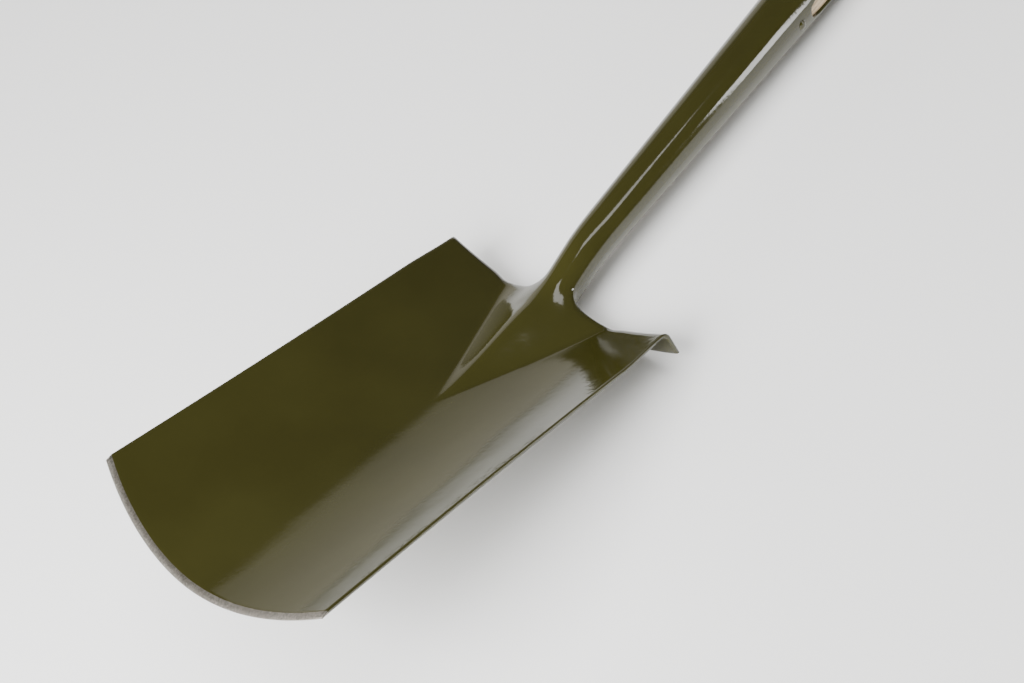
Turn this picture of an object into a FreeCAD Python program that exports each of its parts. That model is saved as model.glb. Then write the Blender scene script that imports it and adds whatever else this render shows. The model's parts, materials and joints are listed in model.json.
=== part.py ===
"""Garden digging spade, lying face up: strapped steel head, ash wishbone (YD) handle.

Millimetres. The tool frame has Y along the blade from the middle of the cutting edge to the handle, X to the
right and Z out of the blade's hollow face. The shaft frame has Y along the shaft's axis. Every sub-part is made
in one of these two, and its Placement lays it down as it rests: on its treads and its hand grip.
"""

import FreeCAD, Part
import math
import os

import Sketcher
from FreeCAD import Placement, Rotation, Vector

doc = FreeCAD.newDocument("garden_spade")

# ---------------------------------------------------------------- driving dimensions

DIMENSIONS = {
    # blade
    "blade_length": 302.0,         # middle of the cutting edge to the top edge
    "tread_half_width": 95.0,
    "corner_half_width": 97.0,     # at the ends of the cutting edge
    "corner_setback": 20.9,        # cutting edge's corners behind its middle
    "plate_thickness": 2.5,
    "dish_depth": 24.0,            # side edges above the blade's middle
    "bevel_length": 4.0,           # ground band along the cutting edge
    "bevel_drop": 1.7,
    # treads
    "tread_inner": 43.0,           # inner end, from the middle
    "tread_depth": 15.5,
    "tread_bend": 4.5,
    # frog, the raised tongue from the neck into the blade
    "frog_start": 190.0,
    "frog_end": 300.0,
    "frog_half_width": 42.0,
    "frog_height": 21.4,
    # neck and socket
    "neck_radius": 12.7,
    "neck_slope": 29.5,
    "neck_start_y": 299.0,
    "neck_start_z": 8.6,
    "axis_slope": 19.14,           # shaft's axis against the blade
    "axis_y": 290.0,               # where the shaft frame starts, in the tool frame
    "axis_z": 15.6,
    "socket_start": 60.0,          # along the shaft's axis
    "socket_small_radius": 14.3,
    "mouth_at": 292.0,
    "mouth_radius": 20.2,
    "bore_start": 100.0,
    "bore_radius": 13.3,
    "wall": 2.0,
    "slot_root": 283.0,            # side slots between the two straps
    "slot_half": 7.0,
    "strap_end": 412.0,
    "strap_half_width": 11.5,
    # shaft and wishbone
    "shaft_radius": 18.15,
    "fit_gap": 0.05,
    "waist_at": 544.0,             # where the shaft starts to thin towards the crotch
    "crotch_at": 602.0,
    "crotch_radius": 10.0,
    "arm_root": 540.0,             # where the arms start, inside the shaft
    "split_at": 556.0,             # where the arms start to part
    "arm_start": 9.0,              # arm's middle from the axis, at the split
    "arm_spread": 52.0,            # and at the grip
    "spread_length": 140.0,
    "arm_end": 754.0,
    "arm_half_width": 9.2,
    "arm_half_depth": 14.0,
    "arm_corner": 6.0,
    "arm_end_rounding": 5.0,
    # grip
    "grip_at": 731.0,
    "grip_radius": 16.5,
    "grip_end_radius": 14.0,
    "rod_radius": 4.0,
    "rove_radius": 9.0,
    "rove_thickness": 1.6,
    "rod_head_radius": 6.0,
    "rod_head_height": 2.0,
    # rivets
    "rivet_radius": 2.75,
    "rivet_head_radius": 4.6,
    "rivet_head_height": 1.8,
    "socket_rivet_at": 272.0,
    "strap_rivet_low_at": 330.0,
    "strap_rivet_high_at": 392.0,
    "throat_rivet_at": 545.0,
    "socket_rivet_head_radius": 3.6,
    "socket_rivet_head_height": 1.4,
    "throat_rove_radius": 7.0,
    "throat_rove_thickness": 1.2,
    "spot_depth": 1.8,
    # how it lies
    "lie_angle": 20.18,
}

sheet = doc.addObject("Spreadsheet::Sheet", "dims")
for row, (alias, number) in enumerate(DIMENSIONS.items(), start=1):
    sheet.set(f"A{row}", alias)
    sheet.set(f"B{row}", str(number))
    sheet.setAlias(f"B{row}", alias)
doc.recompute()

TOP_LEVEL = []


def value(expression):
    """The number that an expression of the sheet's cells gives now."""
    result = sheet.evalExpression(expression)
    return float(getattr(result, "Value", result))


def dim(alias):
    return value("dims." + alias)


# ---------------------------------------------------------------- sketches


NO_SHIFT = ("0", "0", "0")
ACROSS = Vector(1, 0, 0)
OUTWARD = Vector(0, 0, 1)
FAR = 600                          # past the end of everything


def new_body(label):
    body = doc.addObject("PartDesign::Body", label)
    body.Label = label
    TOP_LEVEL.append(body)
    return body


def new_sketch(body, name, role, base=NO_SHIFT, turn_axis=None, turn="0"):
    """A sketch on one of the body's own planes, shifted and turned by expressions of the sheet."""
    sketch = body.newObject("Sketcher::SketchObject", name)
    plane = next(item for item in body.Origin.OriginFeatures if item.Role == role)
    sketch.AttachmentSupport = [(plane, "")]
    sketch.MapMode = "FlatFace"
    offset = Vector(*[value(part) for part in base])
    if turn_axis is None:
        sketch.AttachmentOffset = Placement(offset, Rotation())
    else:
        sketch.AttachmentOffset = Placement(offset, Rotation(turn_axis, value(turn)))
        sketch.setExpression("AttachmentOffset.Rotation.Angle", turn)
    for letter, part in zip("xyz", base):
        sketch.setExpression("AttachmentOffset.Base." + letter, part)
    return sketch


def fix_point(sketch, geometry, end, across, up):
    """Hold one point of a sketch at a place given by two expressions."""
    for kind, expression in (("DistanceX", across), ("DistanceY", up)):
        index = sketch.addConstraint(Sketcher.Constraint(kind, -1, 1, geometry, end, value(expression)))
        sketch.setExpression(f"Constraints[{index}]", expression)


def arc_through(start, middle, finish):
    """The arc through three points, always counter-clockwise as a sketch keeps it."""
    centre = Part.Arc(start, middle, finish).toShape().Curve.Center
    angles = [math.atan2(point.y - centre.y, point.x - centre.x) for point in (start, middle, finish)]
    first, last = angles[0], angles[2]
    if (angles[1] - first) % (2 * math.pi) > (last - first) % (2 * math.pi):
        first, last = last, first
    circle = Part.Circle(centre, Vector(0, 0, 1), centre.distanceToPoint(start))
    return Part.ArcOfCircle(circle, first, first + (last - first) % (2 * math.pi))


def hold_edge(sketch, edge, start, finish, middle=None):
    """Hold an edge's two ends by expressions, and an arc by a point that it passes through too."""
    start_end = 1
    start_point = Vector(value(start[0]), value(start[1]), 0)
    if sketch.Geometry[edge].StartPoint.distanceToPoint(start_point) > 1e-6:
        start_end = 2
    fix_point(sketch, edge, start_end, *start)
    fix_point(sketch, edge, 3 - start_end, *finish)
    if middle:
        point = sketch.addGeometry(Part.Point(Vector(value(middle[0]), value(middle[1]), 0)), True)
        fix_point(sketch, point, 1, *middle)
        sketch.addConstraint(Sketcher.Constraint("PointOnObject", point, 1, edge))


def add_loop(sketch, steps):
    """A closed outline. A step is (x, y), a corner, or (x, y, mid x, mid y): an arc to the next corner."""
    points = [step[:2] for step in steps]
    middles = [step[2:] or None for step in steps]
    add_path(sketch, points + points[:1], middles)


def add_path(sketch, points, middles):
    """An open path through the points: an arc where there is a middle point, otherwise a line."""
    for number, middle in enumerate(middles):
        start, finish = points[number], points[number + 1]
        start_point = Vector(value(start[0]), value(start[1]), 0)
        finish_point = Vector(value(finish[0]), value(finish[1]), 0)
        if middle:
            middle_point = Vector(value(middle[0]), value(middle[1]), 0)
            edge = sketch.addGeometry(arc_through(start_point, middle_point, finish_point))
        else:
            edge = sketch.addGeometry(Part.LineSegment(start_point, finish_point))
        hold_edge(sketch, edge, start, finish, middle)


def add_circle(sketch, across, up, radius):
    circle = sketch.addGeometry(Part.Circle(Vector(value(across), value(up), 0), Vector(0, 0, 1), value(radius)))
    fix_point(sketch, circle, 3, across, up)
    index = sketch.addConstraint(Sketcher.Constraint("Radius", circle, value(radius)))
    sketch.setExpression(f"Constraints[{index}]", radius)


# ---------------------------------------------------------------- features


def pad(body, sketch, name, length):
    """Pad towards the handle from a sketch on the plane across the tool."""
    feature = body.newObject("PartDesign::Pad", name)
    feature.Profile = sketch
    feature.Length = value(length)
    feature.setExpression("Length", length)
    feature.Reversed = True
    feature.Refine = True
    doc.recompute()


def pocket_through(body, sketch, name):
    """Cut through everything, both ways."""
    before = body.Shape.Volume
    feature = body.newObject("PartDesign::Pocket", name)
    feature.Profile = sketch
    feature.Midplane = True
    feature.Length = 2 * FAR
    doc.recompute()
    if not body.Shape.Volume < before:
        raise RuntimeError(name + " cuts nothing")


def revolve(body, sketch, name, axis="H_Axis"):
    feature = body.newObject("PartDesign::Revolution", name)
    feature.Profile = sketch
    feature.ReferenceAxis = (sketch, [axis])
    feature.Angle = 360.0
    doc.recompute()


def loft(body, sections, name):
    feature = body.newObject("PartDesign::AdditiveLoft", name)
    feature.Profile = sections[0]
    feature.Sections = sections[1:]
    doc.recompute()


# ---------------------------------------------------------------- spade head (tool frame)

DISH_RADIUS = "((pow(dims.tread_half_width; 2) + pow(dims.dish_depth; 2)) / (2 * dims.dish_depth))"

# Places a sketch so that its own X runs along the shaft's axis, seen from the side.
SIDE_OF_SHAFT = {"base": ("dims.axis_y", "dims.axis_z", "0"), "turn_axis": OUTWARD, "turn": "dims.axis_slope"}
# Places a sketch so that its own Y runs along the shaft's axis, seen from the front.
FRONT_OF_SHAFT = {"base": ("0", "dims.axis_y", "dims.axis_z"), "turn_axis": ACROSS, "turn": "dims.axis_slope"}

STRAP_RADIUS = "(dims.shaft_radius + dims.fit_gap + dims.wall)"
STRAP_CUT = f"sqrt(pow({STRAP_RADIUS}; 2) - pow(dims.strap_half_width; 2))"


def dish_height(across):
    """Expression: how high the hollow face stands at a distance from the middle (a circular dish)."""
    return f"({DISH_RADIUS} - sqrt(pow({DISH_RADIUS}; 2) - pow({across}; 2)))"


def dished_band(body, name, depth, base=NO_SHIFT):
    """A sketch across the blade: a band of some depth under the hollow face."""
    section = new_sketch(body, name, "XZ_Plane", base=base)
    reach = "(dims.corner_half_width + 2)"
    high = dish_height(reach)
    add_loop(section, [
        (f"-{reach}", high, "0", "0"),
        (reach, high),
        (reach, f"{high} - {depth}", "0", f"-{depth}"),
        (f"-{reach}", f"{high} - {depth}"),
    ])
    return section


def add_plate(body):
    """Dished plate with its top edge folded square to the back, cut to the blade's outline."""
    section = dished_band(body, "dish_section", "dims.plate_thickness")
    pad(body, section, "plate", "dims.blade_length")
    top = ("0", "0", "-dims.blade_length")
    flange = dished_band(body, "flange_section", "dims.tread_depth", base=top)
    pad(body, flange, "top_flange", "dims.plate_thickness")
    round_tread_bend(body)

    outline = new_sketch(body, "blade_outline", "XY_Plane")
    add_loop(outline, [(f"-{FAR}", f"-{FAR}"), (f"{FAR}", f"-{FAR}"), (f"{FAR}", f"{FAR}"), (f"-{FAR}", f"{FAR}")])
    taper = "(dims.corner_half_width - dims.tread_half_width) / (dims.blade_length - dims.corner_setback)"
    beyond = "30"
    top_corner = f"dims.tread_half_width - {beyond} * {taper}"
    add_loop(outline, [
        ("-dims.corner_half_width", "dims.corner_setback", "0", "0"),
        ("dims.corner_half_width", "dims.corner_setback"),
        (top_corner, f"dims.blade_length + {beyond}"),
        (f"-({top_corner})", f"dims.blade_length + {beyond}"),
    ])
    pocket_through(body, outline, "trim_to_outline")

    gap = new_sketch(body, "gap_between_treads", "XY_Plane")
    add_loop(gap, [
        ("-dims.tread_inner", "dims.blade_length"),
        ("dims.tread_inner", "dims.blade_length"),
        ("dims.tread_inner", f"dims.blade_length + {beyond}"),
        ("-dims.tread_inner", f"dims.blade_length + {beyond}"),
    ])
    pocket_through(body, gap, "part_the_treads")


def edges_where(shape, test):
    """Names of the edges whose middle point passes a test."""
    names = []
    for number, edge in enumerate(shape.Edges, start=1):
        middle = edge.valueAt((edge.FirstParameter + edge.LastParameter) / 2)
        if test(middle, edge):
            names.append(f"Edge{number}")
    return names


def add_bevel(body):
    """Ground bevel on the hollow side of the cutting edge."""
    base = body.Tip
    names = edges_where(body.Shape, lambda middle, edge: middle.Length < 1 and edge.Length > 100)
    bevel = body.newObject("PartDesign::Chamfer", "cutting_bevel")
    bevel.Base = (base, names)
    bevel.ChamferType = "Two distances"
    bevel.Size = dim("bevel_length")
    bevel.setExpression("Size", "dims.bevel_length")
    bevel.Size2 = dim("bevel_drop")
    bevel.setExpression("Size2", "dims.bevel_drop")
    bevel.FlipDirection = True
    doc.recompute()


def round_tread_bend(body):
    """The outer side of the bend between the blade and its treads."""
    base = body.Tip
    edge_y = dim("blade_length") + dim("plate_thickness")
    names = edges_where(base.Shape, lambda middle, edge: middle.distanceToPoint(Vector(0, edge_y, 0)) < 0.1)
    bend = body.newObject("PartDesign::Fillet", "tread_bend")
    bend.Base = (base, names)
    bend.Radius = dim("tread_bend")
    bend.setExpression("Radius", "dims.tread_bend")
    doc.recompute()


# Shares of the frog's length at which its sections stand, and where each side of a section bends: shares of its
# half width and of its height.
FROG_SECTIONS = (0.06, 0.3, 0.65, 1.0)
FROG_KNEE = (0.5, 0.55)
FROG_BROW = (0.15, 0.92)
FROG_SUNK = 1                      # how far it reaches into the plate


def add_frog(body):
    """Frog: a roof-shaped tongue that widens evenly, and rises softly from the blade's middle to the neck."""
    sections = []
    for number, part in enumerate(FROG_SECTIONS):
        place = f"-(dims.frog_start + {part} * (dims.frog_end - dims.frog_start))"
        sketch = new_sketch(body, f"frog_section_{number}", "XZ_Plane", base=("0", "0", place))
        wide = f"({part} * dims.frog_half_width)"
        foot = f"({dish_height(wide)} - {FROG_SUNK})"
        top = f"(dims.frog_height * pow({part}; 2) * (3 - 2 * {part}))"
        knee_x, brow_x = (f"{bend[0]} * {wide}" for bend in (FROG_KNEE, FROG_BROW))
        knee, brow = (f"({foot} + {bend[1]} * ({top} - {foot}))" for bend in (FROG_KNEE, FROG_BROW))
        add_loop(sketch, [
            (f"-{wide}", foot),
            (wide, foot),
            (knee_x, knee),
            (brow_x, brow, "0", top),
            (f"-{brow_x}", brow),
            (f"-{knee_x}", knee),
        ])
        sections.append(sketch)
    loft(body, sections, "frog")


# Sections of the neck: distance along it, share of the growth to the socket's radius, and share of the turn to
# the shaft's axis.
NECK_SECTIONS = ((0, 0, 0), (22, 0, 0), (42, 0.4, 0.2))
NECK_SUNK = 6                      # how far it reaches into the socket


def add_neck(body):
    """Cranked neck: round sections from inside the frog to inside the socket's root."""
    sine = "sin(dims.neck_slope * 1deg)"
    cosine = "cos(dims.neck_slope * 1deg)"
    sections = []
    for number, (along, grown, straightened) in enumerate(NECK_SECTIONS):
        place = ("0", f"dims.neck_start_z + {along} * {sine}", f"-dims.neck_start_y - {along} * {cosine}")
        turn = f"dims.neck_slope + {straightened} * (dims.axis_slope - dims.neck_slope)"
        radius = f"dims.neck_radius + {grown} * (dims.socket_small_radius - dims.neck_radius)"
        sections.append((place, turn, radius))
    join = f"(dims.socket_start + {NECK_SUNK})"
    place = (
        "0",
        f"dims.axis_z + {join} * sin(dims.axis_slope * 1deg)",
        f"-dims.axis_y - {join} * cos(dims.axis_slope * 1deg)",
    )
    sections.append((place, "dims.axis_slope", "dims.socket_small_radius"))
    sketches = []
    for number, (place, turn, radius) in enumerate(sections):
        sketch = new_sketch(body, f"neck_section_{number}", "XZ_Plane", place, ACROSS, turn)
        add_circle(sketch, "0", "0", radius)
        sketches.append(sketch)
    loft(body, sketches, "neck")


def add_socket(body):
    """Tapered socket and the tube from which the two straps are cut."""
    wall = new_sketch(body, "socket_section", "YZ_Plane", **SIDE_OF_SHAFT)
    bore_end = "(dims.shaft_radius + dims.fit_gap)"
    add_loop(wall, [
        ("dims.socket_start", "0"),
        ("dims.bore_start", "0"),
        ("dims.bore_start", "dims.bore_radius"),
        ("dims.mouth_at", bore_end),
        ("dims.strap_end", bore_end),
        ("dims.strap_end", STRAP_RADIUS),
        ("dims.mouth_at", "dims.mouth_radius"),
        ("dims.socket_start", "dims.socket_small_radius"),
    ])
    revolve(body, wall, "socket")

    side = new_sketch(body, "side_slots", "YZ_Plane", **SIDE_OF_SHAFT)
    shoulder = "dims.slot_root + dims.slot_half"
    taper_end = "dims.strap_end - dims.strap_half_width"
    beyond = "dims.strap_end + 30"
    add_loop(side, [
        (shoulder, "-dims.slot_half", "dims.slot_root", "0"),
        (shoulder, "dims.slot_half"),
        (taper_end, STRAP_CUT),
        (beyond, STRAP_CUT),
        (beyond, "-" + STRAP_CUT),
        (taper_end, "-" + STRAP_CUT),
    ])
    pocket_through(body, side, "cut_side_slots")

    ends = new_sketch(body, "strap_ends", "XY_Plane", **FRONT_OF_SHAFT)
    outside = "dims.mouth_radius + 10"
    add_loop(ends, [
        ("-(" + outside + ")", taper_end),
        ("-dims.strap_half_width", taper_end, "0", "dims.strap_end"),
        ("dims.strap_half_width", taper_end),
        (outside, taper_end),
        (outside, beyond),
        ("-(" + outside + ")", beyond),
    ])
    pocket_through(body, ends, "round_strap_ends")


def drill(body, name, role, places, radius, **frame):
    """Holes through everything, square to one of the body's planes."""
    sketch = new_sketch(body, name + "_circles", role, **frame)
    for across, up in places:
        add_circle(sketch, across, up, radius)
    pocket_through(body, sketch, name)


def make_head():
    body = new_body("spade_head")
    add_plate(body)
    add_bevel(body)
    add_frog(body)
    add_neck(body)
    add_socket(body)
    strap_holes = [("0", "dims.strap_rivet_low_at"), ("0", "dims.strap_rivet_high_at")]
    drill(body, "strap_rivet_holes", "XY_Plane", strap_holes, "dims.rivet_radius", **FRONT_OF_SHAFT)
    side_holes = [("dims.socket_rivet_at", "0")]
    drill(body, "socket_rivet_holes", "YZ_Plane", side_holes, "dims.rivet_radius", **SIDE_OF_SHAFT)


# ---------------------------------------------------------------- ash shaft and wishbone (shaft frame)

SPREAD_RADIUS = "((pow(dims.spread_length; 2) + pow(SPREAD; 2)) / (4 * SPREAD))".replace(
    "SPREAD", "(dims.arm_spread - dims.arm_start)")


def add_arm(body, side):
    """One arm of the wishbone: a rounded section swept along an S of two equal arcs."""
    name = "right" if side > 0 else "left"
    sign = "" if side > 0 else "-"

    def across(expression):
        return f"{sign}({expression})"

    root = "dims.arm_root"
    spread = "(dims.arm_spread - dims.arm_start)"
    half_turn = "(dims.spread_length / 4)"
    bulge = f"({SPREAD_RADIUS} - sqrt(pow({SPREAD_RADIUS}; 2) - pow({half_turn}; 2)))"
    path = new_sketch(body, f"arm_{name}_path", "XY_Plane")
    points = [
        ("dims.arm_start", root),
        ("dims.arm_start", "dims.split_at"),
        (f"dims.arm_start + {spread} / 2", "dims.split_at + dims.spread_length / 2"),
        ("dims.arm_spread", "dims.split_at + dims.spread_length"),
        ("dims.arm_spread", "dims.arm_end"),
    ]
    middles = [
        None,
        (f"dims.arm_start + {bulge}", f"dims.split_at + {half_turn}"),
        (f"dims.arm_spread - {bulge}", f"dims.split_at + dims.spread_length - {half_turn}"),
        None,
    ]
    add_path(path, [(across(x), y) for x, y in points],
             [middle and (across(middle[0]), middle[1]) for middle in middles])

    section = new_sketch(body, f"arm_{name}_section", "XZ_Plane", base=("0", "0", f"-({root})"))
    wide = "dims.arm_half_width"
    deep = "dims.arm_half_depth"
    corner = "dims.arm_corner"
    slack = "(1 - sqrt(0.5)) * dims.arm_corner"
    middle_x = across("dims.arm_start")
    add_loop(section, [
        (f"{middle_x} - {wide} + {corner}", f"-{deep}"),
        (f"{middle_x} + {wide} - {corner}", f"-{deep}",
         f"{middle_x} + {wide} - {slack}", f"-{deep} + {slack}"),
        (f"{middle_x} + {wide}", f"-{deep} + {corner}"),
        (f"{middle_x} + {wide}", f"{deep} - {corner}",
         f"{middle_x} + {wide} - {slack}", f"{deep} - {slack}"),
        (f"{middle_x} + {wide} - {corner}", deep),
        (f"{middle_x} - {wide} + {corner}", deep,
         f"{middle_x} - {wide} + {slack}", f"{deep} - {slack}"),
        (f"{middle_x} - {wide}", f"{deep} - {corner}"),
        (f"{middle_x} - {wide}", f"-{deep} + {corner}",
         f"{middle_x} - {wide} + {slack}", f"-{deep} + {slack}"),
    ])
    arm = body.newObject("PartDesign::AdditivePipe", f"arm_{name}")
    arm.Profile = section
    arm.Spine = (path, [])
    doc.recompute()


def make_shaft():
    body = new_body("ash_shaft")
    profile = new_sketch(body, "shaft_profile", "YZ_Plane")
    taper = "(dims.shaft_radius + dims.fit_gap - dims.bore_radius) / (dims.mouth_at - dims.bore_start)"
    end_gap = "2"
    add_loop(profile, [
        (f"dims.bore_start + {end_gap}", "0"),
        (f"dims.bore_start + {end_gap}", f"dims.bore_radius - dims.fit_gap + {end_gap} * {taper}"),
        ("dims.mouth_at", "dims.shaft_radius"),
        ("dims.waist_at", "dims.shaft_radius"),
        ("dims.crotch_at", "dims.crotch_radius"),
        ("dims.crotch_at", "0"),
    ])
    revolve(body, profile, "shaft")
    for side in (1, -1):
        add_arm(body, side)
    round_arm_ends(body)
    add_shaft_holes(body)


def round_arm_ends(body):
    base = body.Tip
    end = dim("arm_end")
    names = edges_where(base.Shape, lambda middle, edge: abs(middle.y - end) < 0.01)
    rounding = body.newObject("PartDesign::Fillet", "arm_end_rounding")
    rounding.Base = (base, names)
    rounding.Radius = dim("arm_end_rounding")
    rounding.setExpression("Radius", "dims.arm_end_rounding")
    doc.recompute()


def add_shaft_holes(body):
    drill(body, "rod_holes", "YZ_Plane", [("dims.grip_at", "0")], "dims.rod_radius")
    cross = [("dims.socket_rivet_at", "0"), ("dims.throat_rivet_at", "0")]
    drill(body, "cross_rivet_holes", "YZ_Plane", cross, "dims.rivet_radius")
    straight = [("0", "dims.strap_rivet_low_at"), ("0", "dims.strap_rivet_high_at")]
    drill(body, "strap_rivet_holes_in_wood", "XY_Plane", straight, "dims.rivet_radius")
    seat = "dims.shaft_radius - dims.spot_depth"
    for side in (1, -1):
        sign = "" if side > 0 else "-"
        place = ("0", "0", f"{sign}({seat})")
        name = "right" if side > 0 else "left"
        spot = new_sketch(body, f"throat_spot_{name}_circle", "YZ_Plane", base=place)
        add_circle(spot, "dims.throat_rivet_at", "0", "dims.throat_rove_radius + 0.2")
        cut = body.newObject("PartDesign::Pocket", f"throat_spot_{name}")
        cut.Profile = spot
        cut.Length = dim("throat_rove_radius")
        cut.Reversed = side > 0
        doc.recompute()


# ---------------------------------------------------------------- grip, rod, roves and rivets (shaft frame)

AT_GRIP = {"base": ("0", "dims.grip_at", "0")}
ARM_INNER = "(dims.arm_spread - dims.arm_half_width)"
ARM_OUTER = "(dims.arm_spread + dims.arm_half_width)"


def turned_piece(label, role, outline, frame, axis="H_Axis"):
    """A piece turned about one axis of its sketch."""
    body = new_body(label)
    sketch = new_sketch(body, label + "_profile", role, **frame)
    add_loop(sketch, outline)
    revolve(body, sketch, label + "_turning", axis)


def make_grip():
    half = f"({ARM_INNER} - dims.fit_gap)"
    bore = "dims.rod_radius + dims.fit_gap"
    turned_piece("hand_grip", "XY_Plane", [
        (f"-{half}", bore),
        (half, bore),
        (half, "dims.grip_end_radius", "0", "dims.grip_radius"),
        (f"-{half}", "dims.grip_end_radius"),
    ], AT_GRIP)


def headed_pin(label, role, frame, radius, seat, head_radius, head_height, axis="H_Axis"):
    """A pin along its sketch's axis with a low domed head at each end, on a flat seat."""
    # Half-way down the dome's arc, by its rise and width.
    dome = f"((pow({head_radius}; 2) + pow({head_height}; 2)) / (2 * {head_height}))"
    mid_up = f"({seat} + {head_height} - {dome} + sqrt(pow({dome}; 2) - pow({head_radius} / 2; 2)))"
    half = [
        (radius, seat),
        (head_radius, seat, f"{head_radius} / 2", mid_up),
        ("0", f"{seat} + {head_height}"),
    ]
    lower = [
        ("0", f"-({seat} + {head_height})", f"{head_radius} / 2", f"-{mid_up}"),
        (head_radius, f"-({seat})"),
        (radius, f"-({seat})"),
    ]
    steps = half + lower
    if axis == "H_Axis":
        steps = [swap(step) for step in steps]
    turned_piece(label, role, steps, frame, axis)


def swap(step):
    """The same step with across and up exchanged."""
    if len(step) == 2:
        return (step[1], step[0])
    return (step[1], step[0], step[3], step[2])


def rove(label, frame, role, inner, outer, hole):
    """A washer between two distances along its sketch's own X axis."""
    turned_piece(label, role, [
        (inner, hole[0]),
        (outer, hole[0]),
        (outer, hole[1]),
        (inner, hole[1]),
    ], frame)


def make_fasteners():
    grip_seat = f"({ARM_OUTER} + dims.rove_thickness)"
    headed_pin("grip_rod", "XY_Plane", AT_GRIP, "dims.rod_radius", grip_seat,
               "dims.rod_head_radius", "dims.rod_head_height")
    grip_hole = ("dims.rod_radius", "dims.rove_radius")
    rove("grip_rove_right", AT_GRIP, "XY_Plane", ARM_OUTER, grip_seat, grip_hole)
    rove("grip_rove_left", AT_GRIP, "XY_Plane", f"-{ARM_OUTER}", f"-{grip_seat}", grip_hole)

    at_throat = {"base": ("0", "dims.throat_rivet_at", "0")}
    spot = "(dims.shaft_radius - dims.spot_depth)"
    throat_seat = f"({spot} + dims.throat_rove_thickness)"
    headed_pin("throat_rivet", "XY_Plane", at_throat, "dims.rivet_radius", throat_seat,
               "dims.rivet_head_radius", "dims.rivet_head_height")
    throat_hole = ("dims.rivet_radius", "dims.throat_rove_radius")
    rove("throat_rove_right", at_throat, "XY_Plane", spot, throat_seat, throat_hole)
    rove("throat_rove_left", at_throat, "XY_Plane", f"-{spot}", f"-{throat_seat}", throat_hole)

    at_socket = {"base": ("0", "dims.socket_rivet_at", "0")}
    slope = "((dims.mouth_radius - dims.socket_small_radius) / (dims.mouth_at - dims.socket_start))"
    wide_side = "(dims.socket_rivet_at + dims.rivet_radius)"
    skin = f"(dims.socket_small_radius + {slope} * ({wide_side} - dims.socket_start))"
    headed_pin("socket_rivet", "XY_Plane", at_socket, "dims.rivet_radius", skin,
               "dims.socket_rivet_head_radius", "dims.socket_rivet_head_height")

    for name, place in (("lower", "dims.strap_rivet_low_at"), ("upper", "dims.strap_rivet_high_at")):
        frame = {"base": (place, "0", "0")}
        headed_pin(f"strap_rivet_{name}", "YZ_Plane", frame, "dims.rivet_radius",
                   f"({STRAP_RADIUS} + dims.fit_gap)", "dims.rivet_head_radius", "dims.rivet_head_height",
                   axis="V_Axis")


# ---------------------------------------------------------------- assembly, laid down at rest


def lay_down():
    """Give each sub-part its Placement: tilted on to treads and grip, bottom centre at the origin."""
    tilt = Placement(Vector(0, 0, 0), Rotation(ACROSS, -dim("lie_angle")))
    shaft = Placement(Vector(0, dim("axis_y"), dim("axis_z")), Rotation(ACROSS, dim("axis_slope")))
    frames = {body: tilt if body.Label == "spade_head" else tilt.multiply(shaft) for body in TOP_LEVEL}
    box = FreeCAD.BoundBox()
    for body, frame in frames.items():
        body.Placement = frame
        box.add(body.Shape.optimalBoundingBox())
    shift = Placement(Vector(-box.Center.x, -box.Center.y, -box.ZMin), Rotation())
    for body, frame in frames.items():
        body.Placement = shift.multiply(frame)
    doc.recompute()
    return box


def check_document():
    for item in doc.Objects:
        if "Invalid" in item.State or "Error" in item.State:
            raise RuntimeError(f"{item.Label}: {item.State}")
    for body in TOP_LEVEL:
        shape = body.Shape
        if shape.isNull() or not shape.isValid() or len(shape.Solids) != 1:
            raise RuntimeError(f"{body.Label}: not one valid solid")


make_head()
make_shaft()
make_grip()
make_fasteners()
whole = lay_down()
check_document()

os.makedirs("parts", exist_ok=True)
for body in TOP_LEVEL:
    body.Shape.exportStep(f"parts/{body.Label}.step")
print("size", round(whole.XLength, 2), round(whole.YLength, 2), round(whole.ZLength, 2))
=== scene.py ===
"""Looks of the garden spade: glossy olive enamel on the forged head, a ground cutting edge, waxed ash handle."""
import json
import math

import bmesh
import bpy
import numpy as np
from mathutils import Matrix, Vector


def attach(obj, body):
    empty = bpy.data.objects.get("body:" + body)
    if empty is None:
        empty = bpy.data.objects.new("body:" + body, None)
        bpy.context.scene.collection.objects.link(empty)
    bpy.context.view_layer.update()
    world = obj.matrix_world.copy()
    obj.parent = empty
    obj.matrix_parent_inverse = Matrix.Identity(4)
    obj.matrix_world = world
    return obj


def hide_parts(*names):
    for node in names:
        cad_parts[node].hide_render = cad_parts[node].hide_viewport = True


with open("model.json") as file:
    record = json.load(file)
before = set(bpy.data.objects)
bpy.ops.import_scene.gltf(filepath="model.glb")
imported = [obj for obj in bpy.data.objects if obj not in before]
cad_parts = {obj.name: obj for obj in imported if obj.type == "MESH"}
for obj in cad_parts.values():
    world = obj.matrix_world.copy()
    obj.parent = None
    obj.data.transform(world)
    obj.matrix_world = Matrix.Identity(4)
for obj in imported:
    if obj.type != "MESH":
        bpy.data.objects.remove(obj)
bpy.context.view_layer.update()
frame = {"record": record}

# ------------------------------------------------------------------ places, from the frame

MM = 0.001
MOUNTS = {mount["name"]: mount for mount in frame["record"]["mounts"]}


def mount_point(name):
    return np.array(MOUNTS[name]["pos_m"])


def mount_axis(name):
    return np.array(MOUNTS[name]["axis"], dtype=float)


def frame_matrix(origin, along):
    """Rows: across, along, up, for a frame whose Y runs along a direction in the plane of symmetry."""
    across = np.array([1.0, 0.0, 0.0])
    return origin, np.array([across, along, np.cross(across, along)])


# Tool frame: origin in the middle of the cutting edge, Y along the blade, Z out of its hollow face.
TOOL = frame_matrix(mount_point("cutting_edge"), -mount_axis("cutting_edge"))
# Shaft frame: Y along the shaft's axis, from 731 mm before the grip.
GRIP_AT = 731.0
SHAFT = frame_matrix(mount_point("hand_grip") - GRIP_AT * MM * mount_axis("shaft_clip"), mount_axis("shaft_clip"))


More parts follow.
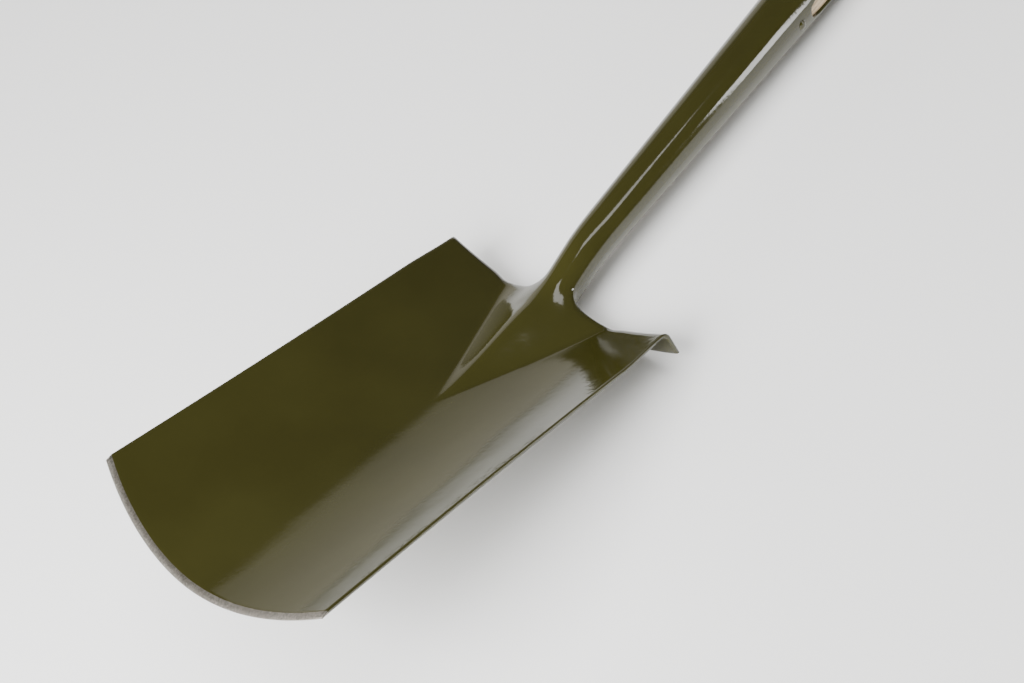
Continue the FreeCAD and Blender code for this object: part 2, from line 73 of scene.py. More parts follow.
def placed(points, where):
    """Points in mm in the tool or shaft frame, as metres in the row frame."""
    origin, rows = where
    return np.asarray(points, dtype=float) * MM @ rows + origin


def shaft_to_tool(points):
    """Points in mm in the shaft frame, in mm in the tool frame."""
    return (placed(points, SHAFT) - TOOL[0]) @ TOOL[1].T / MM


# ------------------------------------------------------------------ meshes


def build(name, points, faces, where, materials, face_slots=None, smooth=True):
    mesh = bpy.data.meshes.new(name)
    mesh.from_pydata(placed(points, where).tolist(), [], faces)
    for material in materials:
        mesh.materials.append(material)
    if face_slots is not None:
        mesh.polygons.foreach_set("material_index", face_slots)
    mesh.polygons.foreach_set("use_smooth", [smooth] * len(faces))
    mesh.validate()
    mesh.update()
    piece = bpy.data.objects.new(name, mesh)
    bpy.context.collection.objects.link(piece)
    return piece


def even_normals(piece):
    """Face normals point outwards."""
    work = bmesh.new()
    work.from_mesh(piece.data)
    bmesh.ops.recalc_face_normals(work, faces=work.faces)
    work.to_mesh(piece.data)
    work.free()


def smoothstep(value):
    value = np.clip(value, 0.0, 1.0)
    return value * value * (3.0 - 2.0 * value)


def smooth_min(a, b, reach):
    gap = np.maximum(reach - np.abs(a - b), 0.0) / reach
    return np.minimum(a, b) - gap * gap * reach * 0.25


def smooth_max(a, b, reach):
    return -smooth_min(-a, -b, reach)


# ------------------------------------------------------------------ the head's surfaces (tool frame, mm)

BLADE_LENGTH = 302.0
CORNER_HALF = 97.0
TREAD_HALF = 95.0
CORNER_SETBACK = 20.9
WAIST = 1.3
DISH_DEPTH = 24.0
DISH_POWER = 1.86
PLATE = 2.5
BEVEL = 4.0
BEVEL_DROP = 1.7
EDGE_RADIUS = (CORNER_HALF ** 2 + CORNER_SETBACK ** 2) / (2.0 * CORNER_SETBACK)
FROG_START = 190.0
FROG_LENGTH = 110.0
FROG_HALF = 42.8
FROG_HEIGHT = 21.4
TREAD_DEPTH = 14.6
TREAD_LEAN = 2.0
TREAD_START = 41.0
BEND = 4.5


def half_width(y):
    along = (y - CORNER_SETBACK) / (BLADE_LENGTH - CORNER_SETBACK)
    waist = WAIST * np.sin(math.pi * np.clip(along, 0.0, 1.0))
    return CORNER_HALF + (TREAD_HALF - CORNER_HALF) * along - waist


def dish(x, y):
    return DISH_DEPTH * (np.abs(x) / half_width(y)) ** DISH_POWER


def frog(x, y):
    """Height of the frog above the dished plate: a roof with a rounded crest."""
    along = (y - FROG_START) / FROG_LENGTH
    along = np.clip(0.5 * (along + np.sqrt(along ** 2 + 0.02 ** 2)), 0.0, 1.0)
    half = FROG_HALF * along
    crest = 0.5 + 5.5 * along
    across = (np.sqrt(x ** 2 + crest ** 2) - crest) / (np.sqrt(half ** 2 + crest ** 2) - crest + 0.4)
    valley = np.maximum(0.03 + 0.025 * along ** 2, np.minimum(0.3, 0.4 / np.maximum(half, 1.0)))
    ramp = 0.5 * ((1.0 - across) + np.sqrt((1.0 - across) ** 2 + valley ** 2))
    return FROG_HEIGHT * (0.8 * smoothstep(along) + 0.2 * along) * ramp


def front_height(x, y):
    return dish(x, y) + frog(x, y)


def back_height(x, y):
    return dish(x, y) - PLATE


def top_edge(x):
    """Where the shoulders and treads end."""
    return 301.0 + 3.5 * smoothstep((np.abs(x) - 37.0) / 22.0)


def side_x(side, y):
    """The blade's side edge, drawn in a little where the treads were folded, more on the right."""
    pull = 4.6 if side > 0 else 1.2
    return side * (half_width(y) - pull * smoothstep((y - 256.0) / 44.0))


# Centre line of the neck, which joins the shaft's axis.
NECK_SLOPE = math.radians(30.2)
AXIS_SLOPE = math.atan2(*(shaft_to_tool([[0, 1, 0]]) - shaft_to_tool([[0, 0, 0]]))[0][[2, 1]])
NECK_STEP = 1.0
NECK_RADIUS = 12.7
SOCKET_RADIUS = 14.3
SOCKET_START = 60.0
MOUTH_AT = 292.0
MOUTH_RADIUS = 20.2


def neck_line():
    """Points, slopes and radii along the neck, from inside the frog to the straight socket."""
    length = np.arange(-24.0, 90.0, NECK_STEP)
    slope = NECK_SLOPE + (AXIS_SLOPE - NECK_SLOPE) * smoothstep((length - 26.0) / 40.0)
    steps = np.stack([np.cos(slope), np.sin(slope)], axis=1) * NECK_STEP
    path = np.cumsum(steps, axis=0) - steps
    end_s = 92.0
    end = shaft_to_tool([[0, end_s, 0]])[0][1:]
    path += end - path[-1]
    points = np.concatenate([np.zeros((len(path), 1)), path], axis=1)
    axis_s = end_s - (length[-1] - length)
    radius = socket_radius(axis_s)
    return points, slope, radius, axis_s


def socket_radius(s):
    taper = (MOUTH_RADIUS - SOCKET_RADIUS) / (MOUTH_AT - SOCKET_START)
    straight = SOCKET_RADIUS + taper * (s - SOCKET_START)
    return np.minimum(smooth_max(straight, NECK_RADIUS + 0 * straight, 1.6), MOUTH_RADIUS)


LINE, LINE_SLOPE, LINE_RADIUS, LINE_S = neck_line()


def neck_distance(points):
    """Signed distance to the neck's skin."""
    starts, ends = LINE[:-1], LINE[1:]
    spans = ends - starts
    to_point = points[:, None, :] - starts[None]
    share = np.clip((to_point * spans).sum(-1) / (spans ** 2).sum(-1), 0.0, 1.0)
    nearest = np.linalg.norm(to_point - share[..., None] * spans, axis=-1)
    radius = LINE_RADIUS[:-1] + share * (LINE_RADIUS[1:] - LINE_RADIUS[:-1])
    return (nearest - radius).min(axis=1)


def plate_distance(points):
    x, y, z = points.T
    front = (z - front_height(x, y)) * 0.85
    back = back_height(x, y) - z
    top = y - top_edge(x)
    return smooth_max(smooth_max(front, top, 2.4), back, 2.4)


def head_distance(points):
    """The neck stands sharply out of the frog's crest, and flares into the shoulders at its sides."""
    fillet = 5.0 + 5.0 * smoothstep((np.abs(points[:, 0]) - 7.0) / 14.0)
    return smooth_min(plate_distance(points), neck_distance(points), fillet)


def settle(points, rounds=8):
    """Move points along the gradient on to the head's skin."""
    points = points.copy()
    tiny = 0.02
    for _ in range(rounds):
        value = head_distance(points)
        slope = np.stack([
            (head_distance(points + tiny * axis) - head_distance(points - tiny * axis)) / (2 * tiny)
            for axis in np.eye(3)
        ], axis=1)
        size = np.maximum((slope ** 2).sum(1), 0.05)
        step = value[:, None] * slope / size[:, None]
        length = np.linalg.norm(step, axis=1, keepdims=True)
        points -= step * np.minimum(1.0, 3.0 / np.maximum(length, 1e-9))
    return points


# ------------------------------------------------------------------ the head's mesh

CORE = 16            # columns each side of the middle that run on into the neck
COLUMNS = 50         # all columns each side of the middle
STRIP = 11           # points round the top edge, from the front to the back
RIM = 0.5            # chamfer of the plate's edges


class Net:
    """Vertices and faces gathered by name of grid place."""

    def __init__(self):
        self.points = []
        self.faces = []
        self.slots = []

    def add(self, point):
        self.points.append(point)
        return len(self.points) - 1

    def face(self, *corners, slot=0):
        ring = [c for n, c in enumerate(corners) if c != corners[n - 1]]
        if len(set(ring)) >= 3:
            self.faces.append(ring)
            self.slots.append(slot)

    def band(self, first, second, slot=0, closed=False):
        """Quads between two rows of the same length."""
        last = len(first) if closed else len(first) - 1
        for n in range(last):
            m = (n + 1) % len(first)
            self.face(first[n], first[m], second[m], second[n], slot=slot)


def column_x(i, y):
    core = 19.5 + 10.0 * np.clip(1.0 - y / 300.0, 0.0, 1.0)
    inner = abs(i) <= CORE
    side = 1.0 if i > 0 else -1.0
    if inner:
        return core * i / CORE
    return side * (core + (abs(side_x(side, y)) - RIM - core) * (abs(i) - CORE) / (COLUMNS - CORE))


def edge_y(x, inset):
    """The cutting edge's arc, set back by an even distance."""
    radius = EDGE_RADIUS - inset
    return EDGE_RADIUS - math.sqrt(radius ** 2 - x ** 2)


def blade_rows():
    """Each row: (inset from the cutting edge, share of the way to the top)."""
    near = [(0.0, 0.0), (0.35, 0.0), (2.2, 0.0), (BEVEL - 0.12, 0.0), (BEVEL + 0.12, 0.0), (5.5, 0.0)]
    lower = [(8.0, v) for v in np.linspace(0.0, 0.62, 52)]
    upper = [(8.0, v) for v in np.linspace(0.62, 1.0, 56)[1:]]
    return near + lower + upper


def front_z_on_bevel(x, y, inset):
    z = front_height(x, y)
    if inset < BEVEL:
        z -= BEVEL_DROP * (1.0 - inset / BEVEL) + (0.25 if inset == 0 else 0.0)
    return z


def row_point(i, inset, share):
    y = 150.0
    for _ in range(4):
        x = column_x(i, y)
        start = edge_y(x, inset)
        y = start + share * (float(top_edge(x)) - BEND - start)
    return float(column_x(i, y)), float(y)


def strip_profile(x):
    """The eleven points round the top edge at one column, from the front to the back."""
    top = float(top_edge(x))
    high = float(front_height(x, min(top, 302.0)))
    low = float(back_height(x, min(top, 302.0)))
    flange = float(smoothstep((abs(x) - TREAD_START) / 9.0))
    depth = TREAD_DEPTH
    inner = BEND - PLATE
    folded = [
        (-BEND, 0), (-0.5 * BEND, -0.134 * BEND), (-0.134 * BEND, -0.5 * BEND), (0, -BEND),
        (0, -depth + 0.5), (-0.5, -depth), (-PLATE + 0.5, -depth), (-PLATE, -depth + 0.5),
        (-PLATE, -PLATE - inner), (-PLATE - 0.3 * inner, -PLATE - 0.3 * inner), (-BEND, -PLATE),
    ]
    thick = high - low
    soft = min(1.2, 0.36 * thick)
    plain = [
        (-BEND, 0), (-1.4 * soft, 0), (-0.3 * soft, -0.35 * soft), (0, -1.15 * soft),
        (0, -0.4 * thick), (0, -0.5 * thick), (0, -0.6 * thick), (0, -thick + 1.15 * soft),
        (-0.3 * soft, -thick + 0.35 * soft), (-1.4 * soft, -thick), (-BEND, -thick),
    ]
    points = []
    for number, (a, b) in enumerate(zip(folded, plain)):
        y = top + flange * a[0] + (1 - flange) * b[0]
        z = high + flange * a[1] + (1 - flange) * b[1]
        if number == 0:
            z = float(front_height(x, y))
        if number == len(folded) - 1:
            z = float(back_height(x, y))
        # The ends of the treads lean out towards the corner half width.
        end = abs(float(side_x(math.copysign(1.0, x), top))) - RIM
        lean = (CORNER_HALF - RIM - end) * min(1.0, max(0.0, (high - z) / depth)) * smoothstep((abs(x) - end + 26.0) / 26.0)
        y += TREAD_LEAN * flange * min(1.0, max(0.0, (high - z - BEND) / (depth - BEND)))
        points.append((x + math.copysign(float(lean), x), y, z))
    return points


def towards(point, target, distance):
    point, target = np.array(point), np.array(target)
    span = target - point
    return tuple(point + span * min(0.45, distance / max(np.linalg.norm(span), 1e-6)))


PARTNER = {0: 10, 1: 9, 2: 9, 3: 8, 4: 7, 5: 6, 6: 5, 7: 4, 8: 3, 9: 2, 10: 0}
GROUND = 1


def make_blade(net):
    """Front, back, side edges and cutting edge. Gives the rows that the neck grows from."""
    rows = blade_rows()
    columns = range(-COLUMNS, COLUMNS + 1)
    front, back, rims = {}, {}, {}
    for j, (inset, share) in enumerate(rows):
        for i in columns:
            x, y = row_point(i, inset, share)
            front[i, j] = net.add((x, y, front_z_on_bevel(x, y, inset)))
            if j > 0:
                back[i, j] = net.add((x, y, float(back_height(x, y))))
            else:
                back[i, j] = net.add((x, y + 0.3, float(back_height(x, y))))
        for side in (-1, 1):
            i = side * COLUMNS
            f, b = net.points[front[i, j]], net.points[back[i, j]]
            x = float(side_x(side, f[1]))
            inside = RIM if f[2] - b[2] > 1.6 else 0.25
            rims[side, j] = (net.add((x, f[1], f[2] - inside)), net.add((x, b[1], b[2] + inside)))
    last = len(rows) - 1
    for j in range(last):
        ground = GROUND if rows[j + 1][0] <= BEVEL and rows[j + 1][1] == 0 and j < 3 else 0
        for i in range(-COLUMNS, COLUMNS):
            net.face(front[i, j], front[i + 1, j], front[i + 1, j + 1], front[i, j + 1], slot=ground)
            net.face(back[i, j], back[i, j + 1], back[i + 1, j + 1], back[i + 1, j])
        for side in (-1, 1):
            i = side * COLUMNS
            net.face(front[i, j], front[i, j + 1], rims[side, j + 1][0], rims[side, j][0], slot=ground)
            net.face(rims[side, j][0], rims[side, j + 1][0], rims[side, j + 1][1], rims[side, j][1], slot=ground)
            net.face(rims[side, j][1], rims[side, j + 1][1], back[i, j + 1], back[i, j])
    for i in range(-COLUMNS, COLUMNS):
        net.face(front[i, 0], back[i, 0], back[i + 1, 0], front[i + 1, 0], slot=GROUND)
    for side in (-1, 1):
        i = side * COLUMNS
        net.face(front[i, 0], rims[side, 0][0], rims[side, 0][1], back[i, 0], slot=GROUND)
    front_row = {i: front[i, last] for i in columns}
    back_row = {i: back[i, last] for i in columns}
    return front_row, back_row, {side: rims[side, last] for side in (-1, 1)}


def make_top_edge(net, front_row, back_row, rims):
    """Treads and shoulders: a strip from the front round to the back. Gives its inner ends."""
    ends = {}
    for side in (-1, 1):
        strips = []
        for n in range(CORE, COLUMNS + 1):
            i = side * n
            profile = strip_profile(net.points[front_row[i]][0])
            strip = [front_row[i]] + [net.add(p) for p in profile[1:-1]] + [back_row[i]]
            strips.append(strip)
        for first, second in zip(strips, strips[1:]):
            net.band(first, second)
        ends[side] = strips[0]
        outer = [net.points[k] for k in strips[-1]]
        cap = [rims[side][0]]
        for n in range(1, STRIP - 1):
            shrunk = towards(outer[n], outer[PARTNER[n]], RIM)
            lift = RIM if n in (5, 6) else 0.0
            cap.append(net.add((outer[n][0] + side * RIM, shrunk[1], shrunk[2] + lift)))
        cap.append(rims[side][1])
        net.band(strips[-1], cap)
        net.face(cap[0], cap[1], cap[9], cap[10])
        net.face(cap[1], cap[2], cap[9])
        net.face(cap[2], cap[3], cap[8], cap[9])
        net.face(cap[3], cap[4], cap[7], cap[8])
        net.face(cap[4], cap[5], cap[6], cap[7])
    return ends


STRIP_ANGLES = [30, 25, 20, 15, 7.5, 0, -7.5, -15, -20, -25, -30]


def ring_angles():
    """Angles round the neck, in the order of its ring of vertices."""
    angles = [90.0 - 60.0 * i / CORE for i in range(CORE, -CORE - 1, -1)]
    angles += [180.0 - a for a in STRIP_ANGLES[1:-1]]
    angles += [270.0 + 60.0 * i / CORE for i in range(-CORE, CORE + 1)]
    angles += [360.0 + a for a in STRIP_ANGLES[-2:0:-1]]
    return np.radians(angles)


def ring_at(length, grow=0.0):
    """A ring round the neck's centre line at a distance along it."""
    index = (length + 24.0) / NECK_STEP
    low = int(index)
    part = index - low
    centre = LINE[low] * (1 - part) + LINE[low + 1] * part
    slope = LINE_SLOPE[low]
    radius = LINE_RADIUS[low] * (1 - part) + LINE_RADIUS[low + 1] * part + grow
    angles = ring_angles()
    up = np.array([0.0, -math.sin(slope), math.cos(slope)])
    across = np.array([1.0, 0.0, 0.0])
    return centre + radius * (np.cos(angles)[:, None] * across + np.sin(angles)[:, None] * up)


def make_neck(net, front_row, back_row, ends):
    """Rings from the shoulders along the neck to where the socket runs straight."""
    ring = [front_row[i] for i in range(CORE, -CORE - 1, -1)]
    ring += ends[-1][1:-1]
    ring += [back_row[i] for i in range(-CORE, CORE + 1)]
    ring += ends[1][-2:0:-1]
    start = np.array([net.points[k] for k in ring])
    rings = [ring]
    blend_to = ring_at(22.0)
    count = 9
    for n in range(1, count + 1):
        share = n / count
        net_ring = start * (1 - share) + blend_to * share
        rings.append([net.add(tuple(p)) for p in net_ring])
    for length in list(np.arange(24.5, 70.0, 2.5)) + [72.5, 76.0, 80.0, 84.0, 88.0]:
        rings.append([net.add(tuple(p)) for p in ring_at(length)])
    for first, second in zip(rings, rings[1:]):
        net.band(first, second, closed=True)
    return rings


def relax(net, rings):
    """Even out the vertices where the neck meets the shoulders, always on the skin."""
    points = np.array(net.points)
    links = [[] for _ in points]
    for face in net.faces:
        for n, corner in enumerate(face):
            links[corner].append(face[n - 1])
            links[corner].append(face[(n + 1) % len(face)])
    ring_members = {k for ring in rings[1:16] for k in ring}
    x, y, z = points.T
    across = np.abs(x)
    weight = smoothstep((y - 276.0) / 14.0) * (1.0 - smoothstep((across - 24.0) / 16.0))
    members = np.array([n for n in range(len(points)) if weight[n] > 0.01 and (y[n] < 306 or n in ring_members)])
    for ring in rings[10:16]:
        for k in ring:
            weight[k] = 1.0
    fade = weight[members][:, None]
    neighbours = [np.array(sorted(set(links[n]))) for n in members]
    before = points.copy()
    points[members] = before[members] * (1 - fade) + settle(points[members]) * fade
    for _ in range(14):
        average = np.array([points[near].mean(axis=0) for near in neighbours])
        moved = points[members] + 0.5 * fade * (average - points[members])
        points[members] = moved * (1 - fade) + settle(moved, 3) * fade
    points[members] = points[members] * (1 - fade) + settle(points[members], 6) * fade
    for _ in range(7):
        average = np.array([points[near].mean(axis=0) for near in neighbours])
        points[members] += 0.5 * fade * (average - points[members])
    net.points = [tuple(p) for p in points]


SLOT_HALF = 7.0
SLOT_SHOULDER = 290.0
STRAP_HALF = 11.5
STRAP_END = 412.0
STRAP_RADIUS = 20.2
STRAP_SINK = 17.9


def make_socket(net, rings):
    """Straight socket from the neck to its mouth, with the rounded roots of the side slots."""
    angles = ring_angles()
    start_s = 98.0
    fork_s = 262.0
    rings = [rings[-1]]
    for s in np.linspace(start_s, fork_s, 34):
        rings.append(socket_ring(net, angles, np.full(len(angles), s)))
    side = np.abs(np.sin(angles)) * STRAP_RADIUS
    root = np.where(side < SLOT_HALF * 1.005, SLOT_SHOULDER - np.sqrt(np.maximum(SLOT_HALF ** 2 - side ** 2, 0)), SLOT_SHOULDER)
    for share in np.linspace(0, 1, 11)[1:]:
        rings.append(socket_ring(net, angles, fork_s + share * (root - fork_s)))
    for first, second in zip(rings, rings[1:]):
        net.band(first, second, closed=True)
    return rings[-1], angles


def socket_ring(net, angles, s):
    radius = socket_radius(s)
    points = np.stack([radius * np.cos(angles), s, radius * np.sin(angles)], axis=1)
    return [net.add(tuple(p)) for p in shaft_to_tool(points)]


def make_straps(net, mouth, angles):
    """Front and rear straps, each with a rounded end. Gives the loop along their edges."""
    count = len(angles)
    degrees = np.degrees(angles) % 360.0
    loops = []
    for middle in (90.0, 270.0):
        turn = (degrees - middle + 180.0) % 360.0 - 180.0
        members = [n for n in range(count) if abs(turn[n]) <= 75.001]
        members.sort(key=lambda n: -turn[n])
        shares = np.array([turn[n] / 75.0 for n in members])
        row = [mouth[n] for n in members]
        rows = [row]
        shoulder = STRAP_END - STRAP_HALF
        stops = np.linspace(SLOT_SHOULDER, shoulder, 42)[1:]
        cut = math.sqrt(STRAP_RADIUS ** 2 - STRAP_HALF ** 2)
        for s in stops:
            height = SLOT_HALF + (cut - SLOT_HALF) * (s - SLOT_SHOULDER) / (shoulder - SLOT_SHOULDER)
            reach = math.degrees(math.acos(height / STRAP_RADIUS))
            theta = np.radians(middle + shares * reach)
            rows.append(strap_row(net, theta, np.full(len(theta), s)))
        tip = math.asin(STRAP_HALF / STRAP_RADIUS)
        for b in np.linspace(0, 1, 12)[1:]:
            wide = shares * np.sqrt(1 - b ** 2 / 2)
            out = b * np.sqrt(1 - shares ** 2 / 2)
            theta = math.radians(middle) + np.arcsin(np.clip(wide * math.sin(tip), -1, 1))
            rows.append(strap_row(net, theta, shoulder + STRAP_HALF * out))
        for first, second in zip(rows, rows[1:]):
            net.band(first, second)
        loops.append((members, rows))
    return loops


def strap_row(net, theta, s):
    radius = socket_radius(s)
    points = np.stack([radius * np.cos(theta), s, radius * np.sin(theta)], axis=1)
    return [net.add(tuple(p)) for p in shaft_to_tool(points)]


def finish_edges(net, mouth, loops):
    """Fold the edge of straps and slots inwards to the wood."""
    (front_members, front_rows), (back_members, back_rows) = loops
    border = []
    border += [row[0] for row in front_rows]
    border += front_rows[-1][1:]
    border += [row[-1] for row in front_rows[-2::-1]]
    count = len(mouth)

    def between(a, b):
        """Mouth vertices from one place to the next round the slot's root."""
        forward = (b - a) % count
        step = 1 if forward < count / 2 else -1
        path = []
        n = (a + step) % count
        while n != b:
            path.append(mouth[n])
            n = (n + step) % count
        return path

    border += between(front_members[-1], back_members[0])
    border += [row[0] for row in back_rows]
    border += back_rows[-1][1:]
    border += [row[-1] for row in back_rows[-2::-1]]
    border += between(back_members[-1], front_members[0])
    points = np.array([net.points[k] for k in border])
    axis_start = shaft_to_tool([[0, 0, 0]])[0]
    axis = shaft_to_tool([[0, 1, 0]])[0] - axis_start
    along = (points - axis_start) @ axis
    foot = axis_start + along[:, None] * axis
    radial = points - foot
    radius = np.linalg.norm(radial, axis=1, keepdims=True)
    radial /= radius
    tangent = np.roll(points, -1, axis=0) - np.roll(points, 1, axis=0)
    tangent /= np.maximum(np.linalg.norm(tangent, axis=1, keepdims=True), 1e-9)
    outward = np.cross(tangent, radial)
    # The strap's tip points along the axis, so outward there must too.
    tip = int(np.argmax(along))
    if outward[tip] @ axis < 0:
        outward = -outward
    first = foot + radial * (radius - 0.12) + outward * 0.3
    second = foot + radial * (radius - 0.5) + outward * 0.45
    third = foot + radial * STRAP_SINK + outward * 0.45
    previous = border
    for level in (first, second, third):
        ring = [net.add(tuple(p)) for p in level]
        net.band(previous, ring, closed=True)
        previous = ring


def make_head(materials):
    net = Net()
    front_row, back_row, rims = make_blade(net)
    ends = make_top_edge(net, front_row, back_row, rims)
    rings = make_neck(net, front_row, back_row, ends)
    relax(net, rings)
    mouth, angles = make_socket(net, rings)
    loops = make_straps(net, mouth, angles)
    finish_edges(net, mouth, loops)
    piece = build("forged_head", net.points, net.faces, TOOL, materials, net.slots)
    even_normals(piece)
    return piece


# ------------------------------------------------------------------ the handle (shaft frame, mm)

SHAFT_RADIUS = 18.15
SHAFT_FROM = 103.0
BORE_RADIUS = 13.3
BORE_AT = 100.0
SPLIT_AT = 556.0
SPREAD_LENGTH = 140.0
ARM_FROM = 9.0
ARM_TO = 52.0
ARM_HALF_WIDTH = 9.2
ARM_HALF_DEPTH = 14.0
ARM_CORNER = 6.0
ARM_END = 754.0
CROTCH_AT = 603.0
SPREAD_RADIUS = (SPREAD_LENGTH ** 2 + (ARM_TO - ARM_FROM) ** 2) / (4 * (ARM_TO - ARM_FROM))


def arm_line(s):
    """Distance of an arm's middle from the axis, and its slope."""
    first = np.clip(s - SPLIT_AT, 0.0, SPREAD_LENGTH / 2)
    second = np.clip(SPLIT_AT + SPREAD_LENGTH - s, 0.0, SPREAD_LENGTH / 2)
    half = s < SPLIT_AT + SPREAD_LENGTH / 2
    reach = np.where(half, first, second)
    bow = SPREAD_RADIUS - np.sqrt(SPREAD_RADIUS ** 2 - reach ** 2)
    return float(np.where(half, ARM_FROM + bow, ARM_TO - bow)), float(np.arcsin(reach / SPREAD_RADIUS))


def rounded_reach(angle, half_wide, half_deep, corner):
    """How far a ray from the middle goes inside a rounded rectangle."""
    low, high = 0.0, half_wide + half_deep
    for _ in range(40):
        middle = 0.5 * (low + high)
        qx = abs(middle * math.cos(angle)) - half_wide + corner
        qz = abs(middle * math.sin(angle)) - half_deep + corner
        outside = math.hypot(max(qx, 0.0), max(qz, 0.0)) + min(max(qx, qz), 0.0) - corner
        low, high = (middle, high) if outside < 0 else (low, middle)
    return low


TRUNK_SIDES = 32
CHAIN = 7
ARM_SIDES = 24


def trunk_ring(net, grain, s):
    """One ring of the shaft, which widens from round towards the split."""
    spread = float(smoothstep((s - (SPLIT_AT - 22.0)) / 62.0))
    middle, slope = arm_line(s)
    round_radius = SHAFT_RADIUS
    if s < 292.0:
        round_radius = BORE_RADIUS + (SHAFT_RADIUS - BORE_RADIUS) * (s - BORE_AT) / (292.0 - BORE_AT) - 0.1
    wide = middle + ARM_HALF_WIDTH / math.cos(slope)
    half_wide = round_radius + max(0.0, wide - SHAFT_RADIUS) * spread
    half_deep = round_radius + (ARM_HALF_DEPTH - SHAFT_RADIUS) * spread
    power = 2.0 / (2.0 + 0.55 * spread)
    ring = []
    for n in range(TRUNK_SIDES):
        angle = 2 * math.pi * n / TRUNK_SIDES
        c, d = math.cos(angle), math.sin(angle)
        x = half_wide * math.copysign(abs(c) ** power, c)
        z = half_deep * math.copysign(abs(d) ** power, d)
        ring.append(net.add((x, s, z)))
        grain.append((x * SHAFT_RADIUS / half_wide, s, z))
    return ring


def arm_ring(net, grain, s, side, shrink=0.0, lift=0.0):
    """One ring of an arm, square to its middle line."""
    middle, slope = arm_line(s)
    base = math.radians(-120.0)
    ring = []
    for n in range(ARM_SIDES):
        angle = base + 2 * math.pi * n / ARM_SIDES
        reach = rounded_reach(angle, ARM_HALF_WIDTH - shrink, ARM_HALF_DEPTH - shrink, max(ARM_CORNER - shrink, 0.5))
        u, z = reach * math.cos(angle), reach * math.sin(angle)
        x = middle + u * math.cos(slope)
        along = s - u * math.sin(slope) + lift
        ring.append(net.add((side * x, along, z)))
        grain.append((side * (ARM_FROM + u), s, z))
    return ring


def make_handle(material):
    net, grain = Net(), []
    stops = [SHAFT_FROM, 104.0, 130.0, 170.0, 210.0, 250.0, 280.0, 291.0, 300.0, 330.0, 360.0, 390.0, 420.0, 450.0, 480.0, 505.0]
    stops += [520.0, 532.0, 542.0, 550.0, 558.0, 566.0, 574.0, 582.0, 589.0]
    rings = [trunk_ring(net, grain, s) for s in stops]
    for first, second in zip(rings, rings[1:]):
        net.band(first, second, closed=True)
    net.face(*rings[0][::-1])
    top, quarter = rings[-1], TRUNK_SIDES // 4
    front, back = top[quarter], top[3 * quarter]
    # The saddle between the arms runs from the front middle over to the back middle.
    saddle = []
    for n in range(1, CHAIN + 1):
        angle = math.pi * n / (CHAIN + 1)
        place = (0.0, 589.0 + (CROTCH_AT - 589.0) * math.sin(angle) ** 0.6, 12.2 * math.cos(angle))
        saddle.append(net.add(place))
        grain.append(place)
    right = [top[(3 * quarter + n) % TRUNK_SIDES] for n in range(2 * quarter + 1)] + saddle
    left = [top[(3 * quarter - n) % TRUNK_SIDES] for n in range(2 * quarter + 1)] + saddle
    for side, start in ((1, right), (-1, left)):
        arm = [start]
        for s in (604.0, 614.0, 625.0, 637.0, 650.0, 664.0, 678.0, 692.0, 706.0, 719.0, 731.0, 742.0, 748.5):
            arm.append(arm_ring(net, grain, s, side))
        for turn in (30.0, 60.0, 84.0):
            inset = 4.6 * (1 - math.cos(math.radians(turn)))
            rise = 5.0 * math.sin(math.radians(turn))
            arm.append(arm_ring(net, grain, ARM_END - 5.0 + rise, side, shrink=inset))
        arm.append(arm_ring(net, grain, ARM_END, side, shrink=6.8))
        for first, second in zip(arm, arm[1:]):
            net.band(first, second, closed=True)
        net.face(*arm[-1])
    piece = build("ash_wishbone", net.points, net.faces, SHAFT, [material])
    add_grain(piece, grain)
    even_normals(piece)
    soften(piece)
    for side in (-1, 1):
        sink(piece, (side * (SHAFT_RADIUS - 1.8 + 6.0), 545.0, 0.0), 7.2, 12.0)
    return piece


def add_grain(piece, grain):
    """Each vertex keeps where it lay in the straight plank, in metres."""
    layer = piece.data.attributes.new("grain", "FLOAT_VECTOR", "POINT")
    layer.data.foreach_set("vector", (np.array(grain, dtype=float) * MM).ravel())


def soften(piece, levels=2):
    smooth = piece.modifiers.new("smooth", "SUBSURF")
    smooth.levels = smooth.render_levels = levels


def sink(piece, centre, radius, length):
    """Cut a flat-bottomed spot across the shaft, after the smoothing."""
    net = Net()
    rings = []
    for end in (-0.5, 0.5):
        ring = []
        for n in range(48):
            angle = 2 * math.pi * n / 48
            ring.append(net.add((centre[0] + end * length, centre[1] + radius * math.cos(angle), centre[2] + radius * math.sin(angle))))
        rings.append(ring)
    net.band(rings[0], rings[1], closed=True)
    net.face(*rings[0])
    net.face(*rings[1][::-1])
    cutter = build("spot_cutter", net.points, net.faces, SHAFT, [], smooth=False)
    even_normals(cutter)
    cut = piece.modifiers.new("spot", "BOOLEAN")
    cut.operation = "DIFFERENCE"
    cut.solver = "EXACT"
    cut.object = cutter
    graph = bpy.context.evaluated_depsgraph_get()
    piece.data = bpy.data.meshes.new_from_object(piece.evaluated_get(graph))
    piece.modifiers.clear()
    bpy.data.objects.remove(cutter)


# ------------------------------------------------------------------ turned pieces (shaft frame, mm)

ALONG_X = np.array([[0, 1, 0], [0, 0, 1], [1, 0, 0]], dtype=float)
ALONG_Z = np.array([[1, 0, 0], [0, 1, 0], [0, 0, 1]], dtype=float)


